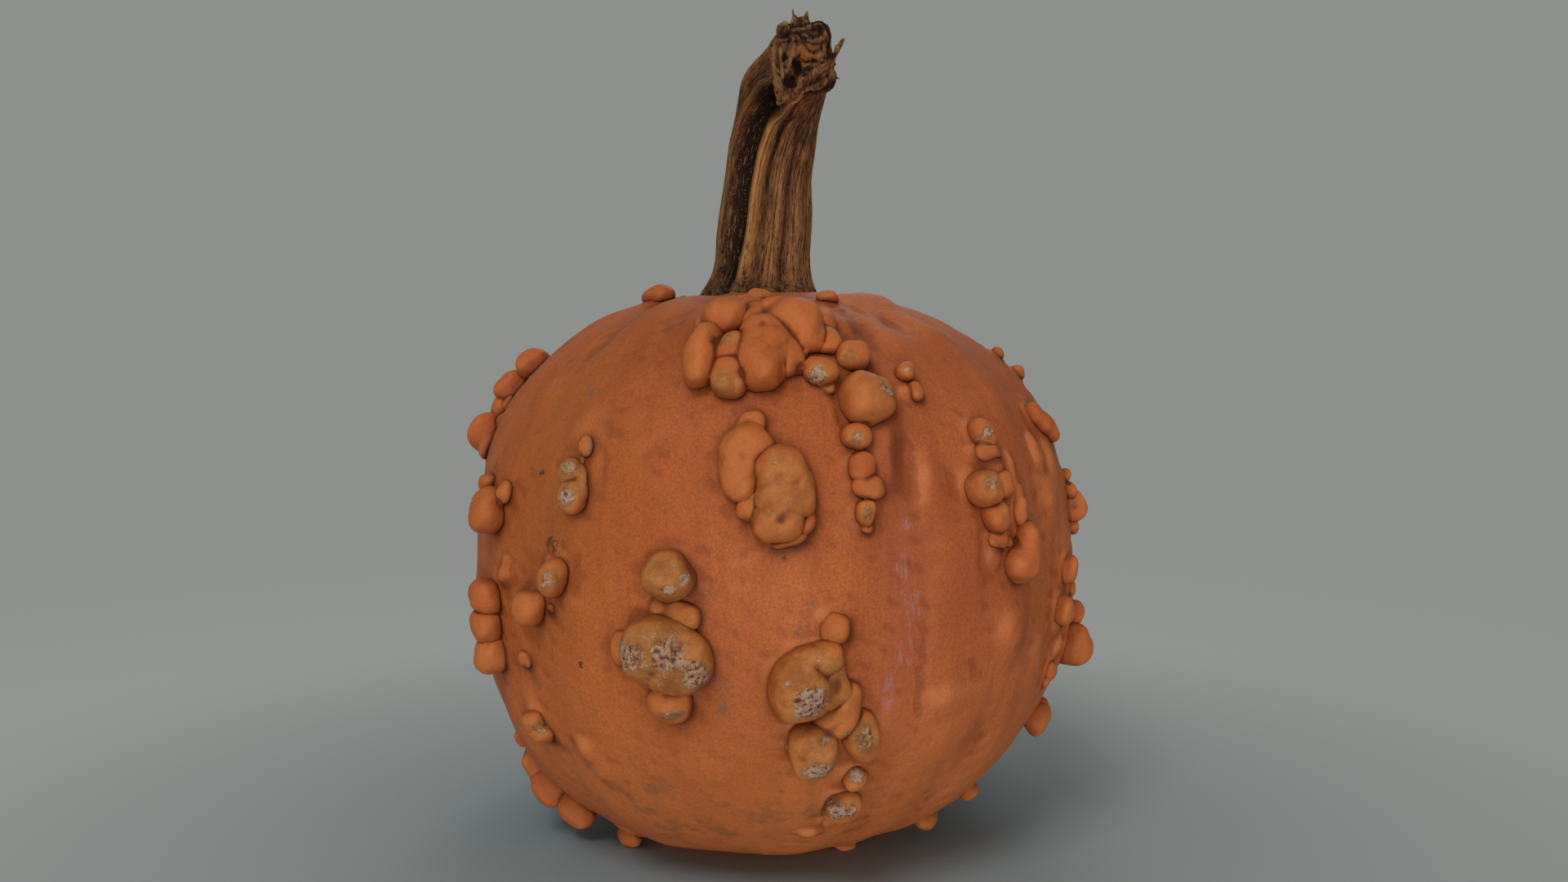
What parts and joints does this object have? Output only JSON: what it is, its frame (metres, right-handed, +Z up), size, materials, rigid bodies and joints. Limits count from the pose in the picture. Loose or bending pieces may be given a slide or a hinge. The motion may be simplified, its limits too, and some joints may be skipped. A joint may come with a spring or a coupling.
{
  "type": "winter squash",
  "caption": "Round warty orange winter squash standing on its blossom end, with clusters of rounded knobs and a tall ridged dry stem that bends forward to a torn end.",
  "frame": {"origin": "on the small flat of the blossom end that the squash stands on, straight below the middle of its girth", "axes": "+Z up from the blossom end to the stem end, -Y toward the front, +X to the right seen from the front"},
  "size_m": [0.2039, 0.2145, 0.2693],
  "materials": {
    "rind": "firm orange rind, softly matt with fine pebbling, knobs capped with tan and grey cork",
    "stem": "dry brown fibrous stem, ridged and rough, paler along the ridges"
  },
  "bodies": {
    "root": {"fruit": "rind", "stem": "stem"}
  },
  "joints": []
}
